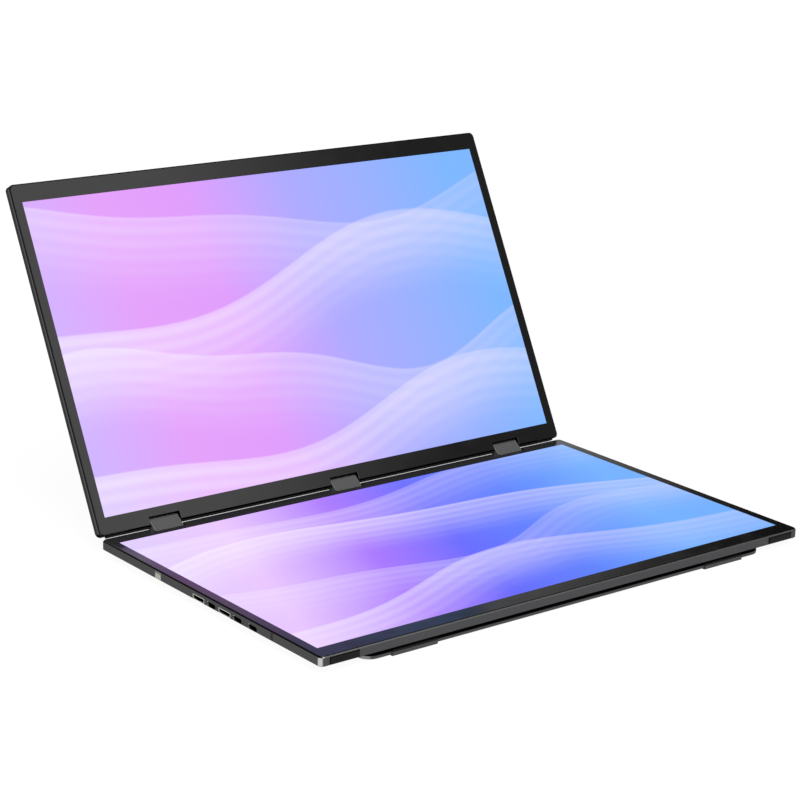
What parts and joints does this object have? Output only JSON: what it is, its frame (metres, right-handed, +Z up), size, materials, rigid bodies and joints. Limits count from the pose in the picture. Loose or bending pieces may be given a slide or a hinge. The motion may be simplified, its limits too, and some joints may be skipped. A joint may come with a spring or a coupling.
{
  "type": "stacked dual-screen monitor",
  "caption": "Portable monitor with a glass-fronted screen lying on its folded stand and an equal screen leaning back above it on double-shaft friction hinges.",
  "frame": {"origin": "on the table, under the centre of the bounding box", "axes": "+X to the right along the hinge axes, +Y to the back, +Z up; the front of the screens faces -Y"},
  "size_m": [0.3579, 0.3228, 0.2021],
  "materials": {
    "anodised_frame": "dark grey anodised, satin",
    "anodised_cover": "dark grey anodised, fine blasted",
    "cover_glass": "polished, black border printed on the back",
    "display": "lit panel",
    "link_metal": "matt grey paint",
    "bare_steel": "turned, oiled",
    "stand_aluminium": "grey anodised, satin",
    "black_rubber": "matt moulded",
    "grey_rubber": "matt moulded",
    "socket_shell": "plated, drawn sheet",
    "black_plastic": "moulded",
    "chip_package": "moulded epoxy",
    "circuit_board": "green solder mask",
    "flat_cable": "amber film",
    "light_inlay": "moulded, flush",
    "dark_inlay": "moulded, flush",
    "button_plastic": "fine texture",
    "light_pipe": "clear, polished end"
  },
  "bodies": {
    "base": {"lower_frame": "anodised_frame", "lower_back_cover": "anodised_cover", "lower_glass": "cover_glass", "lower_display": "display", "main_board": "circuit_board", "main_board_chips": "chip_package", "lower_flat_cable": "flat_cable", "mini_hdmi_socket_1": "socket_shell", "mini_hdmi_socket_2": "socket_shell", "usb_c_socket_1": "socket_shell", "usb_c_socket_2": "socket_shell", "usb_c_socket_3": "socket_shell", "socket_tongues": "black_plastic", "indicator_pipe": "light_pipe", "side_inlay_light": "light_inlay", "side_inlay_dark": "dark_inlay", "front_bumper_left": "black_rubber", "front_bumper_right": "black_rubber", "rear_foot_left": "black_rubber", "rear_foot_right": "black_rubber", "speaker_left": "black_plastic", "speaker_right": "black_plastic", "lower_bracket_left": "bare_steel", "lower_bracket_middle": "bare_steel", "lower_bracket_right": "bare_steel", "lower_screws": "bare_steel", "stand_bracket_left": "bare_steel", "stand_bracket_right": "bare_steel", "button_switches": "chip_package", "button_board": "circuit_board"},
    "hinge_links": {"hinge_link_left": "link_metal", "hinge_link_middle": "link_metal", "hinge_link_right": "link_metal", "lower_shaft_left": "bare_steel", "lower_shaft_middle": "bare_steel", "lower_shaft_right": "bare_steel", "upper_shaft_left": "bare_steel", "upper_shaft_middle": "bare_steel", "upper_shaft_right": "bare_steel", "shaft_nuts": "bare_steel"},
    "lid": {"upper_frame": "anodised_frame", "upper_back_cover": "anodised_cover", "upper_glass": "cover_glass", "upper_display": "display", "driver_board": "circuit_board", "driver_board_chips": "chip_package", "upper_flat_cable": "flat_cable", "upper_bracket_left": "bare_steel", "upper_bracket_middle": "bare_steel", "upper_bracket_right": "bare_steel", "upper_screws": "bare_steel"},
    "stand": {"stand_plate": "stand_aluminium", "stand_pad_left": "grey_rubber", "stand_pad_right": "grey_rubber", "stand_pin_left": "bare_steel", "stand_pin_right": "bare_steel"},
    "power_button": {"power_button": "button_plastic"},
    "plus_button": {"plus_button": "button_plastic"},
    "minus_button": {"minus_button": "button_plastic"}
  },
  "joints": [
    {"name": "lower_hinge", "type": "hinge", "parent": "base", "child": "hinge_links", "pos_m": [0, 0.05314, 0.0064], "axis": [-1, 0, 0], "range_deg": [-53.5, 36.5]},
    {"name": "upper_hinge", "type": "hinge", "parent": "hinge_links", "child": "lid", "pos_m": [0, 0.06037, 0.01175], "axis": [-1, 0, 0], "range_deg": [-64.3, 25.7]},
    {"name": "stand_hinge", "type": "hinge", "parent": "base", "child": "stand", "pos_m": [0, -0.05076, 0.0027], "axis": [1, 0, 0], "range_deg": [0, 90]},
    {"name": "power_button_press", "type": "slide", "parent": "base", "child": "power_button", "axis": [-1, 0, 0], "range_m": [0, 0.0005], "stiffness_N_per_m": 1200},
    {"name": "plus_button_press", "type": "slide", "parent": "base", "child": "plus_button", "axis": [-1, 0, 0], "range_m": [0, 0.0005], "stiffness_N_per_m": 1200},
    {"name": "minus_button_press", "type": "slide", "parent": "base", "child": "minus_button", "axis": [-1, 0, 0], "range_m": [0, 0.0005], "stiffness_N_per_m": 1200}
  ]
}
